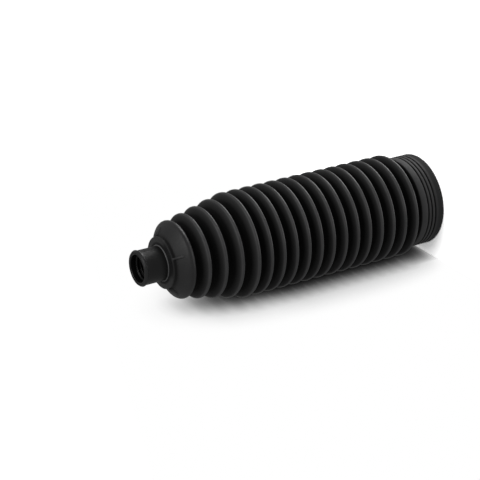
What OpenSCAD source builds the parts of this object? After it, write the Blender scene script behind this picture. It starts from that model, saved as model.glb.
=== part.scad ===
// Bellows boot for a rod that slides and swings, moulded in one piece from rubber.
// It stands on its large end: z = 0 is the large end's face, and +Z runs along the axis to the small end.
// The whole section is one closed outline turned about the axis. The outside is drawn from the large
// end up, and the inside follows it one wall thickness further in.

/* [Large end cuff] */
// Outside diameter of the cuff, where its clamp sits
cuff_d = 53.6; // [52.6:0.1:56]
// Bore of the cuff, which pushes over the housing
cuff_bore_d = 48.6; // [46:0.1:50]
// Height of the cuff from its end face to its shoulder
cuff_h = 15.9; // [14.5:0.1:24]
// Rounding of the cuff's outer edges
cuff_edge_r = 0.8; // [0.3:0.1:1.4]
// Lead-in chamfer at the mouth of the cuff's bore
cuff_lead = 0.8; // [0.2:0.1:1.2]
// Height of the rim band, which ends in a fine step
rim_band_h = 3.95; // [3:0.05:4.4]
// Height of the rim's lip, above which the band draws in towards the step
rim_lip_h = 1.7; // [1.5:0.1:2.6]
// Depth of the fine step above the rim band
rim_step = 0.2; // [0.1:0.05:0.4]

/* [Cuff grooves] */
// Number of grooves round the cuff
groove_count = 3; // [1:1:4]
// Height of the lowest groove's middle
groove_z = 5.95; // [5.4:0.05:6.6]
// Spacing of the grooves
groove_pitch = 2.45; // [1.6:0.05:2.8]
// Width of a groove at the surface
groove_w = 1.1; // [0.6:0.1:1.3]
// Width of a groove's floor
groove_floor_w = 0.4; // [0.2:0.05:0.5]
// Depth of a groove
groove_depth = 0.9; // [0.3:0.1:1.1]

/* [Folds] */
// Height of the first crest above the cuff's shoulder
first_rise = 5.35; // [4.4:0.05:6]
// Number of full-size folds
fold_count = 14; // [2:1:20]
// Diameter over the crests of the full-size folds
fold_d = 60; // [56:0.5:70]
// Spacing of the full-size folds
fold_pitch = 8.2; // [7:0.1:11]
// Depth of a full-size fold, from crest to root
fold_depth = 8.5; // [6:0.1:10]
// Number of tapering folds towards the small end
taper_count = 4; // [1:1:4]
// Spacing of the tapering folds
taper_pitch = 9.2; // [8:0.1:12]
// Diameter that each tapering fold loses
taper_step_d = 4; // [2:0.1:4.4]
// Depth of a tapering fold
taper_depth = 7.4; // [5:0.1:8]
// Radius of a crest's tip
tip_r = 1.1; // [1:0.05:2]
// Radius in the bottom of a root
root_r = 0.8; // [0.5:0.05:1.2]
// Wall thickness of the folds
wall = 1.1; // [0.8:0.05:1.4]

/* [Nose and collar] */
// Radius of the first fold's tip, which runs into the nose cone
nose_tip_r = 2.2; // [1.6:0.1:3]
// Height of the nose cone, from the first crest to the collar
nose_h = 6.25; // [5:0.05:12]
// Diameter of the collar at its foot
collar_d = 29.8; // [29.4:0.1:31]
// Diameter of the collar at its top
collar_top_d = 29.2; // [25:0.1:29.4]
// Height of the collar
collar_h = 2.4; // [1.5:0.1:5]
// Rounding of the collar's top edge
collar_edge_r = 0.25; // [0.1:0.05:0.6]
// Thickness of the collar's top wall
collar_wall = 1.8; // [1.2:0.1:2.4]
// Number of gussets between the collar and the cone
gusset_count = 4; // [1:1:8]
// Thickness of a gusset
gusset_w = 1.3; // [1:0.1:2]
// How far a gusset reaches out along the cone, measured square to the axis
gusset_reach = 4.3; // [2:0.1:5]
// Height of a gusset's blunt outer end above the cone
gusset_end_h = 0.5; // [0.2:0.1:1]
// How far below the collar's top a gusset's back meets the collar
gusset_below = 0.3; // [0.3:0.1:1]
// Chamfer along both edges of a gusset's back
gusset_chamfer = 0.35; // [0.1:0.05:0.45]

/* [Small end neck] */
// Outside diameter of the neck, where its clamp sits
neck_d = 19.5; // [18:0.1:20.2]
// Height of the neck above the collar
neck_h = 14.4; // [12:0.1:22]
// Diameter over the bead that keeps the clamp on
bead_d = 20.6; // [20.2:0.1:21.6]
// Height of the bead
bead_h = 2.2; // [1.6:0.1:3]
// Height of the bead's widest part
bead_land_h = 0.7; // [0.3:0.1:1.2]
// How far the mouth's outer edge draws in from the neck's diameter, on each side
mouth_taper = 0.3; // [0:0.05:0.6]
// Chamfer at the mouth of the neck's bore
mouth_chamfer = 0.4; // [0.1:0.05:0.6]
// Diameter of the thin ring at the neck's foot
foot_ring_d = 20.5; // [20.2:0.1:21.6]
// Height of the thin ring
foot_ring_h = 0.75; // [0.5:0.05:1.5]
// Height of the thin ring's straight side
foot_ring_land_h = 0.4; // [0.2:0.05:0.45]
// Bore of the neck between its sealing ribs
neck_bore_d = 15.6; // [15:0.1:16]
// Bore over the sealing ribs, which grip the rod
rib_bore_d = 14; // [13:0.1:14.6]
// Number of sealing ribs
rib_count = 3; // [1:1:4]
// Spacing of the sealing ribs
rib_pitch = 2.1; // [1.8:0.1:2.6]
// Distance from the mouth to the middle of the first sealing rib
rib_from_mouth = 4.1; // [2.4:0.1:5]
// Width of a sealing rib's land
rib_land_w = 0.6; // [0.3:0.1:0.8]
// Width of a sealing rib at its base
rib_base_w = 1.3; // [1:0.1:1.7]
// Chamfer where the neck's bore opens into the nose
bore_foot_chamfer = 0.6; // [0.2:0.1:1]

/* [Hidden] */
rubber_black = [0.085, 0.085, 0.09];
$fn = 128;

// Steps in the arc of a crest, a root and a small edge
crest_steps = 8;
root_steps = 6;
edge_steps = 4;
// The least radius that the inside of a crest's tip is moulded with
inner_tip_min_r = 0.15;
// How deep a gusset is sunk into the collar and the cone, and how much its plate stands over its back
gusset_root = 0.4;
gusset_spare = 0.2;

cuff_r = cuff_d / 2;
neck_r = neck_d / 2;
fold_total = fold_count + taper_count;
first_crest_z = cuff_h + first_rise;
last_full_z = first_crest_z + (fold_count - 1) * fold_pitch;
nose_crest_z = last_full_z + taper_count * taper_pitch;
collar_z = nose_crest_z + nose_h;
face_z = collar_z + collar_h;
mouth_z = face_z + neck_h;
cone_foot = [collar_d / 2, collar_z];
collar_lean = atan2((collar_d - collar_top_d) / 2, collar_h);

// Fold k, counted from the large end: the radius and height of its crest, and its tip's radius
function taper_steps(k) = max(0, k - fold_count + 1);
function crest_z(k) = first_crest_z + min(k, fold_count - 1) * fold_pitch + taper_steps(k) * taper_pitch;
function crest_r(k) = fold_d / 2 - taper_steps(k) * taper_step_d / 2;
function tip(k) = k == fold_total - 1 ? nose_tip_r : tip_r;
function tip_centre(k) = [crest_r(k) - tip(k), crest_z(k)];

// Root k lies between crests k - 1 and k. Root 0 lies on the cuff's shoulder.
function root_depth(k) = taper_steps(k) > 0 ? taper_depth : fold_depth;
function root_centre(k) = k == 0
    ? [crest_r(0) - fold_depth + root_r, cuff_h + root_r]
    : [(crest_r(k - 1) + crest_r(k)) / 2 - root_depth(k) + root_r, (crest_z(k - 1) + crest_z(k)) / 2];

// Radii of the outer and the inner surface: in is 0 outside, and the wall thickness inside
function tip_surface_r(k, in) = max(tip(k) - in, inner_tip_min_r);
function root_surface_r(in) = root_r + in;

function along(angle) = [cos(angle), sin(angle)];
function arc(centre, r, from, to, steps) =
    [for (i = [0:steps]) centre + r * along(from + (to - from) * i / steps)];

// Direction in which the flank between two circles faces, where it touches them on opposite sides
function flank_angle(crest, a, root, b, side) =
    let (d = root - crest) atan2(d[1], d[0]) - side * acos((a + b) / norm(d));
function lower_flank(k, in) =
    flank_angle(tip_centre(k), tip_surface_r(k, in), root_centre(k), root_surface_r(in), -1);
function upper_flank(k, in) =
    flank_angle(tip_centre(k), tip_surface_r(k, in), root_centre(k + 1), root_surface_r(in), 1);

// Direction in which the nose cone faces, where it leaves the first fold's tip for the collar's foot
nose_angle = let (d = cone_foot - tip_centre(fold_total - 1)) atan2(d[1], d[0]) - acos(nose_tip_r / norm(d));

function crest_arc(k, in) =
    arc(tip_centre(k), tip_surface_r(k, in), lower_flank(k, in),
        k == fold_total - 1 ? nose_angle : upper_flank(k, in), crest_steps);
function root_arc(k, in) =
    arc(root_centre(k), root_surface_r(in), k == 0 ? 270 : upper_flank(k - 1, in) + 180,
        lower_flank(k, in) + 180, root_steps);
function folds(in) = [for (k = [0:fold_total - 1]) each concat(root_arc(k, in), crest_arc(k, in))];

function groove(z) = [
    [cuff_r, z - groove_w / 2],
    [cuff_r - groove_depth, z - groove_floor_w / 2],
    [cuff_r - groove_depth, z + groove_floor_w / 2],
    [cuff_r, z + groove_w / 2]
];
function sealing_rib(z) = [
    [neck_bore_d / 2, z + rib_base_w / 2],
    [rib_bore_d / 2, z + rib_land_w / 2],
    [rib_bore_d / 2, z - rib_land_w / 2],
    [neck_bore_d / 2, z - rib_base_w / 2]
];

cuff_outside = concat(
    arc([cuff_r - cuff_edge_r, cuff_edge_r], cuff_edge_r, 270, 360, edge_steps),
    [[cuff_r, rim_lip_h], [cuff_r - rim_step, rim_band_h], [cuff_r, rim_band_h]],
    [for (i = [0:groove_count - 1]) each groove(groove_z + i * groove_pitch)],
    arc([cuff_r - cuff_edge_r, cuff_h - cuff_edge_r], cuff_edge_r, 0, 90, edge_steps)
);
collar_outside = concat(
    [cone_foot],
    arc([collar_top_d / 2 - collar_edge_r, face_z - collar_edge_r], collar_edge_r, collar_lean, 90, edge_steps)
);
neck_outside = [
    [foot_ring_d / 2, face_z],
    [foot_ring_d / 2, face_z + foot_ring_land_h],
    [neck_r, face_z + foot_ring_h],
    [neck_r, mouth_z - bead_h],
    [bead_d / 2, mouth_z - (bead_h + bead_land_h) / 2],
    [bead_d / 2, mouth_z - (bead_h - bead_land_h) / 2],
    [neck_r - mouth_taper, mouth_z]
];
neck_inside = concat(
    [[neck_bore_d / 2 + mouth_chamfer, mouth_z], [neck_bore_d / 2, mouth_z - mouth_chamfer]],
    [for (i = [0:rib_count - 1]) each sealing_rib(mouth_z - rib_from_mouth - i * rib_pitch)],
    [[neck_bore_d / 2, face_z - collar_wall + bore_foot_chamfer],
     [neck_bore_d / 2 + bore_foot_chamfer, face_z - collar_wall]]
);
collar_inside = [
    [collar_top_d / 2 - collar_wall, face_z - collar_wall],
    cone_foot - collar_wall * along(nose_angle)
];
cuff_inside = [
    [cuff_bore_d / 2, cuff_h - wall],
    [cuff_bore_d / 2, cuff_lead],
    [cuff_bore_d / 2 + cuff_lead, 0]
];

function reversed(points) = [for (i = [len(points) - 1:-1:0]) points[i]];

module section() {
    polygon(concat(
        cuff_outside, folds(0), collar_outside, neck_outside,
        neck_inside, collar_inside, reversed(folds(wall)), cuff_inside
    ));
}

// A gusset fills the corner between the collar and the nose cone, and runs out on the cone. It is a flat
// plate, cut along its back by a bar with chamfered edges.
module gusset() {
    down_cone = along(nose_angle - 90);
    out = along(nose_angle);
    end = cone_foot + gusset_reach / down_cone[0] * down_cone;
    back_end = end + gusset_end_h * out;
    back_head = cone_foot + (collar_h - gusset_below) * [-tan(collar_lean), 1];
    back = back_end - back_head;
    intersection() {
        rotate([90, 0, 0])
            linear_extrude(height = gusset_w, center = true)
                polygon([
                    cone_foot - gusset_root * out,
                    end - gusset_root * out,
                    back_end + gusset_spare * out,
                    back_head + gusset_spare * out,
                    back_head - [gusset_root, 0]
                ]);
        translate([back_head[0], 0, back_head[1]])
            rotate([0, -atan2(back[1], back[0]), 0])
                translate([-gusset_w, 0, 0])
                    rotate([90, 0, 90])
                        linear_extrude(height = norm(back) + 2 * gusset_w)
                            chamfered_bar();
    }
}

// Cross-section of the bar, with its chamfered face at y = 0
module chamfered_bar() {
    flat = gusset_w / 2 - gusset_chamfer;
    deep = gusset_reach + collar_h;
    polygon([
        [-flat, 0],
        [-flat - deep, -deep],
        [flat + deep, -deep],
        [flat, 0]
    ]);
}

module bellows_boot() {
    color(rubber_black)
        union() {
            rotate_extrude() section();
            for (i = [0:gusset_count - 1])
                rotate(i * 360 / gusset_count) gusset();
        }
}

bellows_boot();
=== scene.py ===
import math

import bmesh
import bpy
from mathutils import Matrix, Vector


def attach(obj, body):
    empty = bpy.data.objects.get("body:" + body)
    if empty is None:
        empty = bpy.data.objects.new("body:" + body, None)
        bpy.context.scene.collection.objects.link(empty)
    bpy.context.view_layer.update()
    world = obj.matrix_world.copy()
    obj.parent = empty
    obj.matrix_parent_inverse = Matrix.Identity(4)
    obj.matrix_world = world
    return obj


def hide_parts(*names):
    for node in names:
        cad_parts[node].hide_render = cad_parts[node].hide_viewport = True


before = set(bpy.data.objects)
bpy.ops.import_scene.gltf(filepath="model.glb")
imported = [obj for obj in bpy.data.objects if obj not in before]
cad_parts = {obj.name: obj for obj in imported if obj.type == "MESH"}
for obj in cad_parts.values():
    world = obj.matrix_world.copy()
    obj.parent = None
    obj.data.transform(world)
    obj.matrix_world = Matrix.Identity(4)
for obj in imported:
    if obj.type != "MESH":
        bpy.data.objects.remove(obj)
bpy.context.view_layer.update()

# The bellows boot stands on its cuff, with its axis upright. The camera, the lamps and one of the floors
# are turned round it, so that it is seen lying on its side as in the photo.

MM = 0.001

# Sizes of the boot in millimetres, as its drawing gives them
CUFF_R = 26.8
CUFF_BORE_R = 24.3
CUFF_H = 15.9
CUFF_EDGE_R = 0.8
CUFF_LEAD = 0.8
RIM_BAND_H = 3.95
RIM_LIP_H = 1.7
RIM_STEP = 0.2
GROOVE_COUNT = 3
GROOVE_Z = 5.95
GROOVE_PITCH = 2.45
GROOVE_W = 1.1
GROOVE_DEPTH = 0.9
GROOVE_FLOOR_W = 0.4
FIRST_CREST_RISE = 5.35
FOLD_COUNT = 14
FOLD_R = 30.0
FOLD_PITCH = 8.2
FOLD_DEPTH = 8.5
TAPER_COUNT = 4
TAPER_PITCH = 9.2
TAPER_STEP_R = 2.0
TAPER_DEPTH = 7.4
TIP_R = 1.1
INNER_TIP_LEAST_R = 0.15
ROOT_R = 0.8
WALL = 1.1
NOSE_TIP_R = 2.2
NOSE_H = 6.25
COLLAR_R = 14.9
COLLAR_TOP_R = 14.6
COLLAR_H = 2.4
COLLAR_WALL = 1.8
GUSSET_COUNT = 4
GUSSET_W = 1.3
GUSSET_REACH = 4.3
GUSSET_END_H = 0.5
GUSSET_BELOW = 0.3
NECK_R = 9.75
NECK_H = 14.4
NECK_BORE_R = 7.8
MOUTH_LEAD = 0.4
MOUTH_TAPER = 0.3
BEAD_R = 10.3
BEAD_H = 2.2
FOOT_RING_R = 10.25
FOOT_RING_H = 0.75
FOOT_RING_LAND_H = 0.45
RIB_BORE_R = 7.0
RIB_COUNT = 3
RIB_PITCH = 2.1
RIB_FROM_MOUTH = 4.1
RIB_LAND_W = 0.6
RIB_BASE_W = 1.32

# Radii of the moulding's small edges and corners, in millimetres
FINE_EDGE_R = 0.1
BORE_EDGE_R = 0.2
COLLAR_EDGE_R = 0.25
RING_EDGE_R = 0.25
LEAD_EDGE_R = 0.3
LIP_EDGE_R = 0.4
MOUTH_EDGE_R = 0.4
INNER_CORNER_R = 0.4
BEAD_EDGE_R = 0.6
BORE_FOOT_R = 0.6

# How finely the boot is turned: columns round it, and steps in the arcs of its section
OUTER_COLUMNS = 168
INNER_COLUMNS = 80
TIP_STEPS = 7
ROOT_STEPS = 4
INNER_TIP_STEPS = 2
INNER_ROOT_STEPS = 3
CORNER_STEPS = 3

# Extra columns on both sides of a gusset's middle, in degrees, and extra rows on the cone under it: some
# at its outer end, in millimetres down the cone, and the rest evenly between there and the collar
GUSSET_COLUMNS = (0.6, 1.2, 1.6, 2.0, 2.4, 2.8, 3.2, 3.6, 4.2)
GUSSET_END_ROWS = (0.1, 0.0, -0.15, -0.3, -0.5)
GUSSET_ROWS = 7

# How far outside the bores the outer section ends, in millimetres. It meets the inner section, which has
# fewer columns, on the flat ring of each end.
MOUTH_SEAM = 0.8
FOOT_SEAM = 1.12

# Points of a section, in millimetres, and columns, in degrees, that are no further apart count as one
SAME_POINT = 0.01
SAME_COLUMN = 0.05

# The most of a straight edge that the arc of one corner may use up
CORNER_SHARE = 0.49

# The photo: its lens, and how the boot lies in it. Angles are in degrees, lengths in metres.
PHOTO_PIXELS = 480
LENS_PIXELS = 1694.5
SENSOR_MM = 36.0
NEAREST_SEEN = 0.05
FARTHEST_SEEN = 50
PHOTO_UP_AZIMUTH = 61.0
PHOTO_PITCH = 24.2
PHOTO_HEADING = 58.4
PHOTO_DISTANCE = 0.943
PHOTO_AIM = Vector((0.0022, 0.0015, 0.1232))

# The studio: how bright its walls look to the camera, where 1 is white, and how brightly they light the
# boot
SEEN_LEVEL = 1.0
WORLD_LEVEL = 0.264

# Its lamps: the shares of the photo's up, the photo's front and the boot's axis in the direction from the
# boot, then the distance and the width in metres, and how bright the lamp looks
LAMP_AIM = Vector((0, 0, 0.09))
LAMPS = {
    "overhead_softbox": ((1.0, -0.6, 1.2), 1.0, 0.8, 3.1),
    "end_softbox": ((0.6, 0.1, -1.0), 1.1, 0.9, 1.5),
    "far_softbox": ((0.2, 0.35, 1.0), 1.1, 0.7, 2.0),
}

# The floors, in metres. Two of the lamps are below the standing one, so its colour is set far above 1 to
# make it look white.
FLOOR_HALF = 3.0
LIT_WHITENESS = 4.4

# The lying floor's shade: a dark one close to the boot and a faint one further out, with reaches in
# metres. The floor's level starts above white and is cut off at white, which keeps the open floor clean.
# How strong the shade is along the boot is given as (height in millimetres, strength) rows.
NEAR_SHADE_REACH = 0.012
NEAR_SHADE_DEPTH = 1.6
FAR_SHADE_REACH = 0.08
SHADE_SAMPLES = 32
FLOOR_LEVEL = 1.36
SHADE_STRENGTHS = [
    (0.0, 1.0), (97.0, 1.0), (118.0, 0.7), (148.0, 0.7), (159.0, 0.45), (170.0, 0.22), (190.0, 0.22),
]

# Where the lying floor fades out: as it is seen edge on, and as the boot's axis is seen from the side
EDGE_ON_FADE = (0.62, 0.69)
ACROSS_FADE = (0.6, 0.7)

# The rubber: jet black, with a pale painted highlight on the crests that fades with depth to painted
# shade in the roots. How it fades and how the neck's bore turns glossy are given as (depth in
# millimetres, value) rows.
# Depths are measured under the crests and the cuff's lands.
JET_BLACK = (0.0005, 0.0005, 0.0005, 1)
PALE_TONE_AND_HIGHLIGHT = (0.16, 0.16, 0.163, 1)
RUBBER_SHINE = 0.38
HIGHLIGHT_AND_SHADE_BY_DEPTH = [(0.0, 1.0), (0.25, 1.0), (0.8, 0.5), (1.6, 0.32), (2.8, 0.18), (4.2, 0.0), (6.0, 0.0)]
BORE_GLOSS_BY_DEPTH = [(0.0, 0.0), (1.2, 0.0), (1.7, 0.65), (6.0, 0.65)]
# How much lighter a gusset's top is: a painted highlight
GUSSET_PAINTED_HIGHLIGHT = 0.2
BARE_ROUGHNESS = 0.6

# The moulding's fine grain and its clouds, which make the pale tone and the roughness swing a little. The
# grain's depth is in metres.
GRAIN_PER_METRE = 3000.0
CLOUDS_PER_METRE = 90.0
NOISE_DETAIL = 3.0
NOISE_MIDDLE = 0.5
GRAIN_DEPTH = 0.1 * MM
CLOUD_TONE = 0.5
CLOUD_ROUGHNESS = 0.1


def turned(azimuth):
    """The level direction at that azimuth round the boot's axis."""
    return Vector((math.cos(math.radians(azimuth)), math.sin(math.radians(azimuth)), 0.0))


photo_up = turned(PHOTO_UP_AZIMUTH)
photo_front = turned(PHOTO_UP_AZIMUTH - 90)
boot_axis = Vector((0.0, 0.0, -1.0))


def set_camera():
    """The photo's camera, turned so that the standing boot is seen lying on its side."""
    heading = math.radians(PHOTO_HEADING)
    pitch = math.radians(PHOTO_PITCH)
    level = math.cos(heading) * boot_axis - math.sin(heading) * photo_front
    forward = math.cos(pitch) * level - math.sin(pitch) * photo_up
    right = forward.cross(photo_up).normalized()
    up = right.cross(forward)
    data = bpy.data.cameras.new("photo_camera")
    data.sensor_width = SENSOR_MM
    data.lens = LENS_PIXELS / PHOTO_PIXELS * SENSOR_MM
    data.clip_start = NEAREST_SEEN
    data.clip_end = FARTHEST_SEEN
    camera = bpy.data.objects.new("photo_camera", data)
    bpy.context.scene.collection.objects.link(camera)
    camera.matrix_world = Matrix((right, up, -forward)).transposed().to_4x4()
    camera.location = PHOTO_AIM - PHOTO_DISTANCE * forward
    bpy.context.scene.camera = camera


# The section, in millimetres: x is the radius and y the height

def pointing(angle):
    """The direction at that angle in the section, in degrees."""
    return Vector((math.cos(math.radians(angle)), math.sin(math.radians(angle))))


def facing(direction):
    """The angle of that direction, in degrees."""
    return math.degrees(math.atan2(direction.y, direction.x))


def arc(centre, radius, start, end, steps):
    """Points on an arc from one angle to another, in degrees."""
    return [centre + radius * pointing(start + (end - start) * i / steps) for i in range(steps + 1)]


def rounded(corners):
    """An open outline from (r, z, corner radius) rows, each corner turned as an arc of its radius."""
    points = []
    for i, (r, z, radius) in enumerate(corners):
        corner = Vector((r, z))
        if radius == 0 or i in (0, len(corners) - 1):
            points.append(corner)
            continue
        back = Vector(corners[i - 1][:2]) - corner
        ahead = Vector(corners[i + 1][:2]) - corner
        half = back.angle(ahead) / 2
        room = CORNER_SHARE * min(back.length, ahead.length)
        reach = min(radius / math.tan(half), room)
        true_radius = reach * math.tan(half)
        inward = (back.normalized() + ahead.normalized()).normalized()
        centre = corner + inward * true_radius / math.sin(half)
        start = facing(corner + back.normalized() * reach - centre)
        end = facing(corner + ahead.normalized() * reach - centre)
        swing = (end - start + 180) % 360 - 180
        points += arc(centre, true_radius, start, start + swing, CORNER_STEPS)
    return points


fold_total = FOLD_COUNT + TAPER_COUNT
first_crest_z = CUFF_H + FIRST_CREST_RISE
last_full_z = first_crest_z + (FOLD_COUNT - 1) * FOLD_PITCH
nose_crest_z = last_full_z + TAPER_COUNT * TAPER_PITCH
collar_z = nose_crest_z + NOSE_H
face_z = collar_z + COLLAR_H
mouth_z = face_z + NECK_H
last_groove_z = GROOVE_Z + (GROOVE_COUNT - 1) * GROOVE_PITCH


def taper_steps(k):
    """How many steps fold k tapers. Folds are counted from the large end."""
    return max(0, k - FOLD_COUNT + 1)


def crest(k):
    """Radius and height of fold k's crest."""
    z = first_crest_z + min(k, FOLD_COUNT - 1) * FOLD_PITCH + taper_steps(k) * TAPER_PITCH
    return Vector((FOLD_R - taper_steps(k) * TAPER_STEP_R, z))


def tip_radius(k, inward=0):
    """Radius of fold k's tip, on the outside or so far inward."""
    radius = NOSE_TIP_R if k == fold_total - 1 else TIP_R
    return max(radius - inward, INNER_TIP_LEAST_R)


def tip_centre(k):
    """Centre of the arc that fold k's tip is."""
    return crest(k) - Vector((tip_radius(k), 0))


def root_centre(k):
    """Root k lies under crest k. Root 0 lies on the cuff's shoulder."""
    if k == 0:
        return Vector((FOLD_R - FOLD_DEPTH + ROOT_R, CUFF_H + ROOT_R))
    depth = TAPER_DEPTH if taper_steps(k) else FOLD_DEPTH
    return (crest(k - 1) + crest(k)) / 2 - Vector((depth - ROOT_R, 0))


def flank(k, root, inward, side):
    """Direction in degrees in which the flank between crest k and that root faces."""
    across = root_centre(root) - tip_centre(k)
    lean = math.acos((tip_radius(k, inward) + ROOT_R + inward) / across.length)
    return math.degrees(math.atan2(across.y, across.x) - side * lean)


# The nose cone's straight line, and a gusset on it: its foot, its blunt end and its head at the collar
collar_foot = Vector((COLLAR_R, collar_z))
nose_line = collar_foot - tip_centre(fold_total - 1)
nose_angle = facing(nose_line) - math.degrees(math.acos(NOSE_TIP_R / nose_line.length))
cone_out = pointing(nose_angle)
cone_down = pointing(nose_angle - 90)
gusset_foot = collar_foot + GUSSET_REACH / cone_down.x * cone_down
gusset_end = gusset_foot + GUSSET_END_H * cone_out
gusset_head = collar_foot.lerp(Vector((COLLAR_TOP_R, face_z)), 1 - GUSSET_BELOW / COLLAR_H)


def folds(inward, tip_steps, root_steps):
    """The folds' outline from the cuff to the nose, moved inward by a wall thickness or by nothing."""
    points = []
    for k in range(fold_total):
        start = 270 if k == 0 else flank(k - 1, k, inward, 1) + 180
        lower = flank(k, k, inward, -1)
        upper = nose_angle if k == fold_total - 1 else flank(k, k + 1, inward, 1)
        points += arc(root_centre(k), ROOT_R + inward, start, lower + 180, root_steps)
        points += arc(tip_centre(k), tip_radius(k, inward), lower, upper, tip_steps)
    return points


def groove(z):
    """Corners of one of the cuff's grooves, whose middle is at that height."""
    floor_r = CUFF_R - GROOVE_DEPTH
    return [
        (CUFF_R, z - GROOVE_W / 2, FINE_EDGE_R),
        (floor_r, z - GROOVE_FLOOR_W / 2, FINE_EDGE_R),
        (floor_r, z + GROOVE_FLOOR_W / 2, FINE_EDGE_R),
        (CUFF_R, z + GROOVE_W / 2, FINE_EDGE_R),
    ]


def sealing_rib(z):
    """Corners of one of the neck's sealing ribs, from the mouth inward."""
    return [
        (NECK_BORE_R, z + RIB_BASE_W / 2, BORE_EDGE_R),
        (RIB_BORE_R, z + RIB_LAND_W / 2, BORE_EDGE_R),
        (RIB_BORE_R, z - RIB_LAND_W / 2, BORE_EDGE_R),
        (NECK_BORE_R, z - RIB_BASE_W / 2, BORE_EDGE_R),
    ]


def cuff_outside():
    """From the flat ring at the foot up over the rim band and the grooves to the first root."""
    corners = [
        (CUFF_BORE_R + FOOT_SEAM, 0, 0),
        (CUFF_R, 0, CUFF_EDGE_R),
        (CUFF_R, RIM_LIP_H, LIP_EDGE_R),
        (CUFF_R - RIM_STEP, RIM_BAND_H, FINE_EDGE_R),
        (CUFF_R, RIM_BAND_H, FINE_EDGE_R),
    ]
    for i in range(GROOVE_COUNT):
        corners += groove(GROOVE_Z + i * GROOVE_PITCH)
    corners += [
        (CUFF_R, CUFF_H, CUFF_EDGE_R),
        (root_centre(0).x, CUFF_H, 0),
    ]
    return rounded(corners)


def nose_and_neck():
    """From the nose cone over the collar and up the neck to the flat ring at its mouth."""
    cone = [gusset_foot + reach * cone_down for reach in GUSSET_END_ROWS]
    cone += [gusset_foot.lerp(collar_foot, i / GUSSET_ROWS) for i in range(1, GUSSET_ROWS)]
    return rounded([(p.x, p.y, 0) for p in cone] + [
        (collar_foot.x, collar_foot.y, COLLAR_EDGE_R),
        (gusset_head.x, gusset_head.y, 0),
        (COLLAR_TOP_R, face_z, COLLAR_EDGE_R),
        (FOOT_RING_R, face_z, FINE_EDGE_R),
        (FOOT_RING_R, face_z + FOOT_RING_LAND_H, RING_EDGE_R),
        (NECK_R, face_z + FOOT_RING_H, FINE_EDGE_R),
        (NECK_R, mouth_z - BEAD_H, BEAD_EDGE_R),
        (BEAD_R, mouth_z - BEAD_H / 2, BEAD_EDGE_R),
        (NECK_R - MOUTH_TAPER, mouth_z, MOUTH_EDGE_R),
        (NECK_BORE_R + MOUTH_SEAM, mouth_z, 0),
    ])


def neck_inside():
    """From the mouth down over the sealing ribs and out under the collar."""
    ceiling_z = face_z - COLLAR_WALL
    inside_foot = collar_foot - COLLAR_WALL * cone_out
    corners = [
        (NECK_BORE_R + MOUTH_LEAD, mouth_z, 0),
        (NECK_BORE_R, mouth_z - MOUTH_LEAD, BORE_EDGE_R),
    ]
    for i in range(RIB_COUNT):
        corners += sealing_rib(mouth_z - RIB_FROM_MOUTH - i * RIB_PITCH)
    corners += [
        (NECK_BORE_R, ceiling_z, BORE_FOOT_R),
        (COLLAR_TOP_R - COLLAR_WALL, ceiling_z, INNER_CORNER_R),
        (inside_foot.x, inside_foot.y, 0),
    ]
    return rounded(corners)


def cuff_inside():
    """From the first root under the shoulder and down the bore to the foot."""
    ceiling_z = CUFF_H - WALL
    return rounded([
        (root_centre(0).x, ceiling_z, 0),
        (CUFF_BORE_R, ceiling_z, INNER_CORNER_R),
        (CUFF_BORE_R, CUFF_LEAD, LEAD_EDGE_R),
        (CUFF_BORE_R + CUFF_LEAD, 0, 0),
    ])


def without_doubles(points):
    """The same outline without points that fall together."""
    clean = []
    for p in points:
        if not clean or (p - clean[-1]).length > SAME_POINT:
            clean.append(p)
    return clean


def outer_section():
    """The outline from the foot up to the mouth."""
    return without_doubles(cuff_outside() + folds(0, TIP_STEPS, ROOT_STEPS) + nose_and_neck())


def inner_section():
    """The outline from the mouth down to the foot."""
    inner_folds = folds(WALL, INNER_TIP_STEPS, INNER_ROOT_STEPS)
    return without_doubles(neck_inside() + inner_folds[::-1] + cuff_inside())


# The moulding

def outer_azimuths():
    """Evenly spaced columns, and a few more at each gusset's flanks."""
    azimuths = [i * 360 / OUTER_COLUMNS for i in range(OUTER_COLUMNS)]
    for g in range(GUSSET_COUNT):
        middle = g * 360 / GUSSET_COUNT
        azimuths += [middle + side * a for side in (-1, 1) for a in GUSSET_COLUMNS]
    azimuths = sorted(a % 360 for a in azimuths)
    return [a for i, a in enumerate(azimuths) if i == 0 or a - azimuths[i - 1] > SAME_COLUMN]


def inner_azimuths():
    """Evenly spaced columns."""
    return [i * 360 / INNER_COLUMNS for i in range(INNER_COLUMNS)]


def gusset_lift(p, azimuth):
    """How far a point of the section is moved outward where a gusset crosses it."""
    pitch = 360 / GUSSET_COUNT
    off = abs((azimuth + pitch / 2) % pitch - pitch / 2)
    across = p.x * math.sin(math.radians(off))
    if across > GUSSET_W / 2 or not gusset_foot.y < p.y < gusset_head.y:
        return 0
    along = (p.y - gusset_end.y) / (gusset_head.y - gusset_end.y)
    back = gusset_end.x + (gusset_head.x - gusset_end.x) * along
    blunt = gusset_foot.x + (p.y - gusset_foot.y) * cone_out.x / cone_out.y
    roundness = math.sqrt(1 - (2 * across / GUSSET_W) ** 2)
    return max(0, min(back, blunt) - p.x) * roundness


def spin(bm, section, azimuths, lift=None):
    """Rings of vertices: the section turned to each azimuth."""
    rings = []
    for p in section:
        ring = []
        for azimuth in azimuths:
            r = p.x + (lift(p, azimuth) if lift else 0)
            ring.append(bm.verts.new(r * MM * turned(azimuth) + Vector((0, 0, p.y * MM))))
        rings.append(ring)
    return rings


def skin(bm, rings):
    """Quads between neighbouring rings of the same count."""
    for a, b in zip(rings, rings[1:]):
        for i in range(len(a)):
            j = (i + 1) % len(a)
            bm.faces.new((a[i], a[j], b[j], b[i]))


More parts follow.
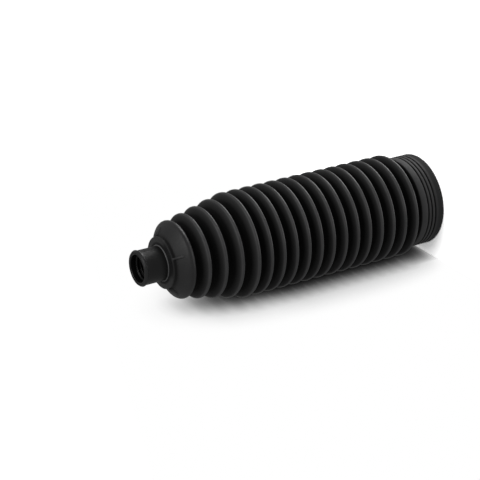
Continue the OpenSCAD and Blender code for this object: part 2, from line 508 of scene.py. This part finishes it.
def join(bm, fine, coarse):
    """Triangles between two rings on one flat face, where one has more columns than the other."""
    i = j = 0
    while i < len(fine) or j < len(coarse):
        ahead_fine = (i + 1) / len(fine)
        ahead_coarse = (j + 1) / len(coarse)
        a, b = fine[i % len(fine)], coarse[j % len(coarse)]
        if i < len(fine) and (ahead_fine <= ahead_coarse or j == len(coarse)):
            bm.faces.new((a, fine[(i + 1) % len(fine)], b))
            i += 1
        else:
            bm.faces.new((a, coarse[(j + 1) % len(coarse)], b))
            j += 1


def make_boot():
    """Turns the outer and the inner section about the axis into one closed mesh."""
    bm = bmesh.new()
    outer = spin(bm, outer_section(), outer_azimuths(), gusset_lift)
    inner = spin(bm, inner_section(), inner_azimuths())
    skin(bm, outer)
    skin(bm, inner)
    join(bm, outer[-1], inner[0])
    join(bm, outer[0], inner[-1])
    bmesh.ops.recalc_face_normals(bm, faces=bm.faces)
    for f in bm.faces:
        f.smooth = True
    mesh = bpy.data.meshes.new("bellows_boot_moulding")
    bm.to_mesh(mesh)
    bm.free()
    boot = bpy.data.objects.new("bellows_boot_moulding", mesh)
    bpy.context.scene.collection.objects.link(boot)
    return boot


# Parts of materials

def new_material(name):
    """A material with an empty node tree."""
    material = bpy.data.materials.new(name)
    material.use_nodes = True
    material.node_tree.nodes.clear()
    return material, material.node_tree


def new_group(name, inputs, outputs):
    """An empty node group with float inputs as (name, default), and float outputs."""
    group = bpy.data.node_groups.new(name, "ShaderNodeTree")
    for label, default in inputs:
        socket = group.interface.new_socket(label, in_out="INPUT", socket_type="NodeSocketFloat")
        socket.default_value = default
    for label in outputs:
        group.interface.new_socket(label, in_out="OUTPUT", socket_type="NodeSocketFloat")
    return group


def placed(tree, group):
    """The outputs of a node group, placed in that tree."""
    node = tree.nodes.new("ShaderNodeGroup")
    node.node_tree = group
    return node.outputs


def object_place(tree):
    """The point on the object, as x, y and z in metres."""
    place = tree.nodes.new("ShaderNodeTexCoord")
    apart = tree.nodes.new("ShaderNodeSeparateXYZ")
    tree.links.new(place.outputs["Object"], apart.inputs[0])
    return apart.outputs


def maths(tree, operation, a, b=None, c=None):
    """A Math node fed by sockets or plain numbers."""
    node = tree.nodes.new("ShaderNodeMath")
    node.operation = operation
    for socket, value in zip(node.inputs, (a, b, c)):
        if value is None:
            continue
        if isinstance(value, (int, float)):
            socket.default_value = value
        else:
            tree.links.new(value, socket)
    return node.outputs[0]


def ramp(tree, factor, stops):
    """A value that runs in straight lines through the stops, given as (place, value) rows."""
    first = stops[0][0]
    span = stops[-1][0] - first
    low = min(value for place, value in stops)
    rise = max(value for place, value in stops) - low
    node = tree.nodes.new("ShaderNodeValToRGB")
    elements = node.color_ramp.elements
    for i, (place, value) in enumerate(stops):
        element = elements[i] if i < len(elements) else elements.new(1)
        element.position = (place - first) / span
        share = (value - low) / rise
        element.color = (share, share, share, 1)
    along = maths(tree, "DIVIDE", maths(tree, "SUBTRACT", factor, first), span)
    tree.links.new(along, node.inputs["Fac"])
    return maths(tree, "ADD", maths(tree, "MULTIPLY", node.outputs["Color"], rise), low)


def ranged(tree, value, given, wanted):
    """The value moved from its given (start, end) to the wanted one, and held there beyond both ends."""
    node = tree.nodes.new("ShaderNodeMapRange")
    node.inputs["From Min"].default_value, node.inputs["From Max"].default_value = given
    node.inputs["To Min"].default_value, node.inputs["To Max"].default_value = wanted
    tree.links.new(value, node.inputs["Value"])
    return node.outputs["Result"]


def swung(tree, noise, middle, swing):
    """A value that swings about its middle with a noise."""
    off = maths(tree, "SUBTRACT", noise, NOISE_MIDDLE)
    return maths(tree, "ADD", maths(tree, "MULTIPLY", off, swing), middle)


def studio_strength(tree):
    """White to the camera, and the level of the studio's own light to the boot."""
    path = tree.nodes.new("ShaderNodeLightPath")
    return ranged(tree, path.outputs["Is Camera Ray"], (0.0, 1.0), (WORLD_LEVEL, SEEN_LEVEL))


# The rubber, whose tone, painted highlights and shade, and roughness along the boot are given as (height
# in millimetres, value) rows

# How much of the pale tone shows on it. It is nearly none on the collar's face and at the neck's foot,
# which is painted shade, and less on the rim band than on the cuff's lands.
tones_and_painted_shade = [
    (0.0, 0.16), (RIM_BAND_H - 0.05, 0.16),
    (RIM_BAND_H + 0.35, 0.18), (GROOVE_Z - GROOVE_W / 2, 0.21),
    (GROOVE_Z + GROOVE_W / 2, 0.34), (CUFF_H - 0.5, 0.34),
    (CUFF_H + 0.3, 0.45), (nose_crest_z - 4.65, 0.45),
    (nose_crest_z + 0.35, 0.22), (collar_z - 0.4, 0.17),
    (collar_z + 0.3, 0.01), (face_z + 2.2, 0.01),
    (face_z + 4.7, 0.09), (mouth_z - 2.9, 0.09),
    (mouth_z - 1.7, 0.16), (mouth_z, 0.16),
]

# How much more of it shows on the collar's edge and on the ring at the neck's foot: painted highlights
collar_painted_highlights = [
    (face_z - 1.0, 0.0), (face_z - 0.4, 0.16),
    (face_z - 0.1, 0.16), (face_z + 0.02, 0.07),
    (face_z + 0.15, 1.0), (face_z + 0.55, 1.0),
    (face_z + 0.7, 0.0),
]

# How rough it is where the painted light is full
roughnesses = [
    (0.0, 0.85), (RIM_BAND_H - 0.05, 0.85),
    (RIM_BAND_H + 0.35, 0.62), (CUFF_H - 0.5, 0.62),
    (CUFF_H + 0.3, 0.31), (nose_crest_z + 0.35, 0.31),
    (nose_crest_z + 3.35, 0.45), (face_z - 0.9, 0.6),
    (face_z - 0.1, 0.25), (face_z + 0.8, 0.25),
    (face_z + 1.5, 0.33), (mouth_z, 0.33),
]

# How many times its depth a groove counts, so that its narrow floor gets the painted shade of a root
groove_shade_gain = [
    (0.0, 1.0), (GROOVE_Z - 1.65, 1.0),
    (GROOVE_Z - 0.95, 4.7), (last_groove_z + 0.75, 4.7),
    (last_groove_z + 1.45, 1.0), (mouth_z, 1.0),
]

# The radius that depths are measured from
outline = [
    (0.0, CUFF_R), (CUFF_H - 0.4, CUFF_R),
    (CUFF_H, FOLD_R), (last_full_z, FOLD_R),
    (nose_crest_z, crest(fold_total - 1).x), (collar_z, COLLAR_R),
    (face_z - 0.4, COLLAR_TOP_R), (face_z + 0.4, NECK_R),
    (mouth_z, NECK_R),
]


def moulded_place_group():
    """Where a point is on the boot: its height, its depth under the outline, and 1 on a gusset."""
    group = new_group("moulded_place", [], ["Height", "Depth", "Gusset"])
    end = group.nodes.new("NodeGroupOutput")
    x, y, z = object_place(group)
    height = maths(group, "DIVIDE", z, MM)
    square = maths(group, "ADD", maths(group, "MULTIPLY", x, x), maths(group, "MULTIPLY", y, y))
    radius = maths(group, "DIVIDE", maths(group, "SQRT", square), MM)
    depth = maths(group, "SUBTRACT", ramp(group, height, outline), radius)
    # Grooves count deeper, so that their floors get a root's painted shade
    depth = maths(group, "MULTIPLY", depth, ramp(group, height, groove_shade_gain))
    # The gussets stand on the x and the y axis
    across = maths(group, "MINIMUM", maths(group, "ABSOLUTE", x), maths(group, "ABSOLUTE", y))
    on_gusset = maths(group, "LESS_THAN", across, GUSSET_W / 2 * MM)
    middle = (gusset_foot.y + gusset_head.y) / 2
    on_cone = maths(group, "COMPARE", height, middle, gusset_head.y - middle)
    group.links.new(height, end.inputs["Height"])
    group.links.new(depth, end.inputs["Depth"])
    group.links.new(maths(group, "MULTIPLY", on_gusset, on_cone), end.inputs["Gusset"])
    return group


def grain_group():
    """The moulding's fine grain and its faint clouds."""
    scales = [("Grain per Metre", GRAIN_PER_METRE), ("Clouds per Metre", CLOUDS_PER_METRE)]
    group = new_group("moulded_grain", scales, ["Grain", "Clouds"])
    start = group.nodes.new("NodeGroupInput")
    end = group.nodes.new("NodeGroupOutput")
    place = group.nodes.new("ShaderNodeTexCoord")
    for name in ("Grain", "Clouds"):
        noise = group.nodes.new("ShaderNodeTexNoise")
        noise.inputs["Detail"].default_value = NOISE_DETAIL
        group.links.new(place.outputs["Object"], noise.inputs["Vector"])
        group.links.new(start.outputs[name + " per Metre"], noise.inputs["Scale"])
        group.links.new(noise.outputs["Fac"], end.inputs[name])
    return group


def rubber_painted_light(tree, place, clouds, painted_light):
    """How much of the pale tone shows, from 0 to 1, with its painted highlights and painted shade."""
    # Tone along the boot, with painted shade on the collar's face and at the neck's foot
    tone = ramp(tree, place["Height"], tones_and_painted_shade)
    # Painted highlights on the collar's edge and the foot ring
    tone = maths(tree, "ADD", tone, ramp(tree, place["Height"], collar_painted_highlights))
    # A painted highlight on the gussets' tops
    tone = maths(tree, "ADD", tone, maths(tree, "MULTIPLY", place["Gusset"], GUSSET_PAINTED_HIGHLIGHT))
    tone = maths(tree, "MULTIPLY", tone, swung(tree, clouds, 1.0, CLOUD_TONE))
    return maths(tree, "MULTIPLY", tone, painted_light)


def rubber_roughness(tree, place, clouds, painted_light):
    """Rough where the painted light fades towards the roots, but for the glossy bore of the neck."""
    bare = maths(tree, "MULTIPLY", maths(tree, "SUBTRACT", 1.0, painted_light), BARE_ROUGHNESS)
    rough = maths(tree, "ADD", ramp(tree, place["Height"], roughnesses), bare)
    rough = maths(tree, "ADD", rough, swung(tree, clouds, 0.0, CLOUD_ROUGHNESS))
    in_neck = maths(tree, "GREATER_THAN", place["Height"], face_z + FOOT_RING_H)
    gloss = ramp(tree, place["Depth"], BORE_GLOSS_BY_DEPTH)
    return maths(tree, "SUBTRACT", rough, maths(tree, "MULTIPLY", in_neck, gloss))


def black_rubber():
    """Black moulded rubber: a pale painted highlight on the crests that fades to jet black painted shade
    in the roots.
    """
    material, tree = new_material("black_rubber")
    out = tree.nodes.new("ShaderNodeOutputMaterial")
    shader = tree.nodes.new("ShaderNodeBsdfPrincipled")
    shader.inputs["Specular IOR Level"].default_value = RUBBER_SHINE
    place = placed(tree, moulded_place_group())
    grain = placed(tree, grain_group())
    # Painted light by depth: a painted highlight on the crests' tips that fades to painted shade in the
    # roots
    painted_light = ramp(tree, place["Depth"], HIGHLIGHT_AND_SHADE_BY_DEPTH)
    colour = tree.nodes.new("ShaderNodeMix")
    colour.data_type = "RGBA"
    colour.inputs["A"].default_value = JET_BLACK
    colour.inputs["B"].default_value = PALE_TONE_AND_HIGHLIGHT
    bump = tree.nodes.new("ShaderNodeBump")
    bump.inputs["Strength"].default_value = 1.0
    bump.inputs["Distance"].default_value = GRAIN_DEPTH
    tree.links.new(rubber_painted_light(tree, place, grain["Clouds"], painted_light), colour.inputs["Factor"])
    tree.links.new(colour.outputs["Result"], shader.inputs["Base Color"])
    tree.links.new(rubber_roughness(tree, place, grain["Clouds"], painted_light), shader.inputs["Roughness"])
    tree.links.new(grain["Grain"], bump.inputs["Height"])
    tree.links.new(bump.outputs["Normal"], shader.inputs["Normal"])
    tree.links.new(shader.outputs["BSDF"], out.inputs["Surface"])
    return material


# Floors

def one_sided(tree, front, edge_on=0.0):
    """Closes a material that shows from its front and is open from behind, or where edge_on is 1."""
    clear = tree.nodes.new("ShaderNodeBsdfTransparent")
    side = tree.nodes.new("ShaderNodeNewGeometry")
    mix = tree.nodes.new("ShaderNodeMixShader")
    out = tree.nodes.new("ShaderNodeOutputMaterial")
    tree.links.new(maths(tree, "MAXIMUM", side.outputs["Backfacing"], edge_on), mix.inputs["Fac"])
    tree.links.new(front.outputs[0], mix.inputs[1])
    tree.links.new(clear.outputs[0], mix.inputs[2])
    tree.links.new(mix.outputs[0], out.inputs["Surface"])


def lit_white():
    """A pale floor that the lamps light and shade."""
    material, tree = new_material("lit_white")
    diffuse = tree.nodes.new("ShaderNodeBsdfDiffuse")
    diffuse.inputs["Color"].default_value = (LIT_WHITENESS, LIT_WHITENESS, LIT_WHITENESS, 1)
    one_sided(tree, diffuse)
    return material


def slanted(tree, fade, normal=None):
    """From 0 to 1 as the view turns from facing that normal, or the surface's own, to edge on."""
    view = tree.nodes.new("ShaderNodeLayerWeight")
    if normal:
        tree.links.new(normal, view.inputs["Normal"])
    return ranged(tree, view.outputs["Facing"], fade, (0.0, 1.0))


def open_sky(tree, reach):
    """How much of the sky a point sees past everything within reach, from 0 to 1."""
    node = tree.nodes.new("ShaderNodeAmbientOcclusion")
    node.samples = SHADE_SAMPLES
    node.inputs["Distance"].default_value = reach
    return node.outputs["AO"]


def shaded_white():
    """A pale floor with a soft shadow, dark where the boot touches it, that is gone when seen edge on.

    To the boot it is as bright as the studio's walls, so all that it does is to dim the light from close
    under the boot.
    """
    material, tree = new_material("shaded_white")
    height = maths(tree, "DIVIDE", object_place(tree)["Z"], MM)
    near = maths(tree, "POWER", open_sky(tree, NEAR_SHADE_REACH), NEAR_SHADE_DEPTH)
    sky = maths(tree, "MULTIPLY", near, open_sky(tree, FAR_SHADE_REACH))
    level = maths(tree, "MINIMUM", maths(tree, "MULTIPLY", sky, FLOOR_LEVEL), 1.0)
    level = maths(tree, "POWER", level, ramp(tree, height, SHADE_STRENGTHS))
    glow = tree.nodes.new("ShaderNodeEmission")
    tree.links.new(level, glow.inputs["Color"])
    tree.links.new(studio_strength(tree), glow.inputs["Strength"])
    axis = tree.nodes.new("ShaderNodeCombineXYZ")
    axis.inputs["Z"].default_value = 1.0
    edge_on = slanted(tree, EDGE_ON_FADE)
    across = slanted(tree, ACROSS_FADE, axis.outputs[0])
    one_sided(tree, glow, maths(tree, "MAXIMUM", edge_on, across))
    return material


def pale_plane(name, corners, material, lights_boot):
    """A flat sheet that stops no lamp's light. Only the camera sees it, unless it lights the boot."""
    mesh = bpy.data.meshes.new(name)
    mesh.from_pydata([p[:] for p in corners], [], [range(len(corners))])
    mesh.materials.append(material)
    obj = bpy.data.objects.new(name, mesh)
    obj.visible_diffuse = obj.visible_glossy = lights_boot
    obj.visible_transmission = obj.visible_shadow = False
    bpy.context.scene.collection.objects.link(obj)


def set_stage():
    """A floor under the standing boot, and the one that it lies on in the photo."""
    far = FLOOR_HALF
    corners = [(-far, -far), (far, -far), (far, far), (-far, far)]
    standing = [Vector((x, y, 0)) for x, y in corners]
    foot = -photo_up * FOLD_R * MM
    lying = [foot + x * photo_front - y * boot_axis for x, y in corners[::-1]]
    pale_plane("standing_floor", standing, lit_white(), False)
    pale_plane("lying_floor", lying, shaded_white(), True)


# Light

def softbox(name, shares, distance, width, radiance):
    """A round lamp that faces the middle of the boot, set by how bright it looks."""
    up, front, axis = shares
    direction = up * photo_up + front * photo_front + axis * boot_axis
    face_area = math.pi * width * width / 4
    data = bpy.data.lights.new(name, "AREA")
    data.shape = "DISK"
    data.size = width
    data.energy = radiance * math.pi * face_area
    lamp = bpy.data.objects.new(name, data)
    lamp.location = LAMP_AIM + distance * direction.normalized()
    lamp.rotation_mode = "QUATERNION"
    lamp.rotation_quaternion = direction.to_track_quat("Z", "Y")
    bpy.context.scene.collection.objects.link(lamp)


def set_world():
    """The studio's even light, in front of white walls."""
    world = bpy.data.worlds.new("studio")
    world.use_nodes = True
    tree = world.node_tree
    tree.nodes.clear()
    out = tree.nodes.new("ShaderNodeOutputWorld")
    back = tree.nodes.new("ShaderNodeBackground")
    back.inputs["Color"].default_value = (1, 1, 1, 1)
    tree.links.new(studio_strength(tree), back.inputs["Strength"])
    tree.links.new(back.outputs[0], out.inputs["Surface"])
    bpy.context.scene.world = world


bpy.context.scene.view_settings.view_transform = "Standard"
set_camera()
set_stage()
for lamp_name, values in LAMPS.items():
    softbox(lamp_name, *values)
set_world()
boot = make_boot()
boot.data.materials.append(black_rubber())
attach(boot, "root")
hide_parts("bellows_boot")
